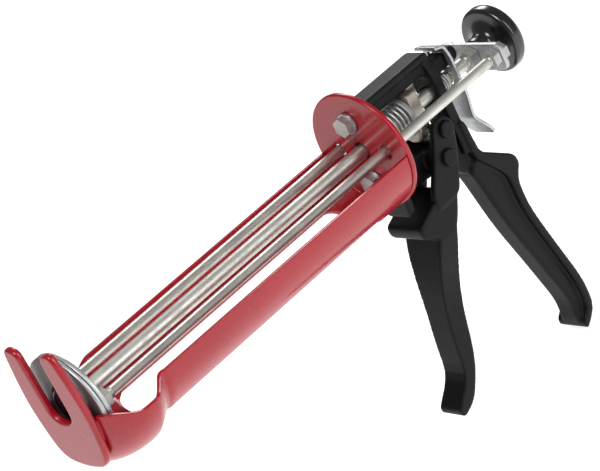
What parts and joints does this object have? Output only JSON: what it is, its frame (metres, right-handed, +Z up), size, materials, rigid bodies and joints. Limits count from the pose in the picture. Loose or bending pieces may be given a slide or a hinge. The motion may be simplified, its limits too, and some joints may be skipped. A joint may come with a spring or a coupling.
{
  "type": "coaxial cartridge caulking gun",
  "caption": "Hand-squeezed gun for large resin or sealant cartridges: red half-trough cradle, rods with a round pusher, black body, handle and trigger.",
  "frame": {"origin": "on the drive rod's axis, in the inner pusher's front face with the plunger fully forward", "axes": "+X forwards along the rods to the nozzle, +Y to the gun's left, +Z up, away from the handle"},
  "size_m": [0.3471, 0.0762, 0.2109],
  "materials": {
    "red_paint": "gloss",
    "zinc": "zinc plated, satin",
    "grip_steel": "hardened steel, satin",
    "spring_steel": "bright",
    "black_casting": "satin",
    "black_gloss": "gloss"
  },
  "bodies": {
    "frame": {"cradle": "red_paint", "rear_plate": "red_paint", "hook_plate": "red_paint", "upper_plate_bolt": "zinc", "upper_plate_washer": "zinc", "lower_plate_bolt": "zinc", "lower_plate_washer": "zinc", "body": "black_casting", "pivot_rivet": "black_casting", "drive_spring": "spring_steel", "release_spring": "spring_steel"},
    "plunger": {"left_rod": "zinc", "left_carrier_nut": "zinc", "left_yoke_nut": "zinc", "left_jam_nut": "zinc", "right_rod": "zinc", "right_carrier_nut": "zinc", "right_yoke_nut": "zinc", "right_jam_nut": "zinc", "drive_rod": "zinc", "drive_rod_nut": "zinc", "pusher_ring": "zinc", "pusher_carrier": "zinc", "inner_pusher": "black_gloss", "yoke": "zinc", "knob": "black_gloss"},
    "trigger": {"trigger": "black_casting", "drive_rivet": "black_casting"},
    "grip": {"grip_plate": "grip_steel", "spring_cup": "zinc"},
    "release": {"release_lever": "zinc"}
  },
  "joints": [
    {"name": "plunger_slide", "type": "slide", "parent": "frame", "child": "plunger", "axis": [-1, 0, 0], "range_m": [0, 0.2]},
    {"name": "trigger_pivot", "type": "hinge", "parent": "frame", "child": "trigger", "pos_m": [-0.26, 0, -0.029], "axis": [0, 1, 0], "range_deg": [0, 22], "stiffness_Nm_per_rad": 1.2, "springref_deg": -28.65},
    {"name": "grip_slide", "type": "slide", "parent": "frame", "child": "grip", "axis": [1, 0, 0], "range_m": [0, 0.006], "stiffness_N_per_m": 900, "springref_m": -0.004, "deforming": ["drive_spring"]},
    {"name": "release_pivot", "type": "hinge", "parent": "frame", "child": "release", "pos_m": [-0.294, 0, 0.014], "axis": [0, 1, 0], "range_deg": [-5, 0], "stiffness_Nm_per_rad": 0.4, "springref_deg": 17.19}
  ],
  "couplings": [
    {"joint": "grip_slide", "follows": "trigger_pivot", "m_per_rad": 0.0147}
  ]
}
